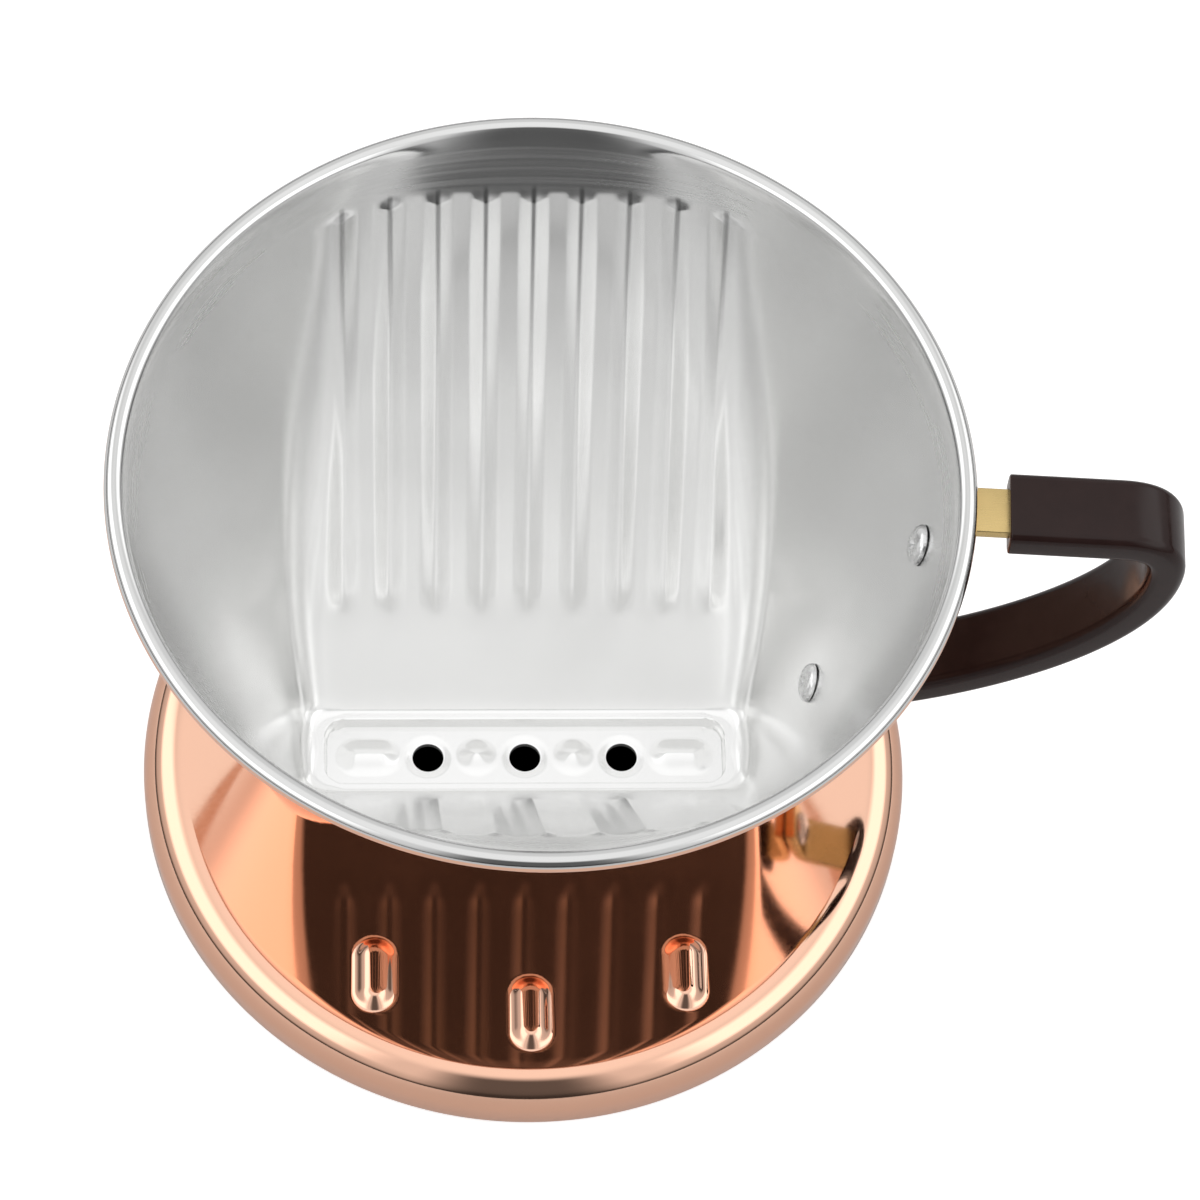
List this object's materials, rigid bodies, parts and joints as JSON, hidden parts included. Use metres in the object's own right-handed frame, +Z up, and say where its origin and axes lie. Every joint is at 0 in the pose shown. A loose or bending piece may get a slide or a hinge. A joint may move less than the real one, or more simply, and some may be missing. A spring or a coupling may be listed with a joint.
{
  "type": "pour-over coffee dripper",
  "caption": "Tin-lined copper wedge dripper for pour-over coffee, with ribbed faces, a drip-hole sump, a copper base dish and a side handle on brass brackets.",
  "frame": {"origin": "on the cup's axis, at the plane the base dish rests on", "axes": "+Z up along the cup's axis, +X towards the handle and along the row of drip holes"},
  "size_m": [0.1476, 0.118, 0.0888],
  "materials": {
    "tinned_copper": "spun tin lining inside, polished copper outside",
    "polished_copper": "mirror-polished copper",
    "handle_resin": "moulded dark-brown resin, soft gloss",
    "bracket_brass": "satin brass strip",
    "rivet_metal": "hammered rivet heads",
    "screw_steel": "plated steel"
  },
  "bodies": {
    "root": {"cup": "tinned_copper", "base_plate": "polished_copper", "handle": "handle_resin", "upper_bracket": "bracket_brass", "lower_bracket": "bracket_brass", "upper_rivet": "rivet_metal", "lower_rivet": "rivet_metal", "upper_handle_screw": "screw_steel", "lower_handle_screw": "screw_steel"}
  },
  "joints": []
}
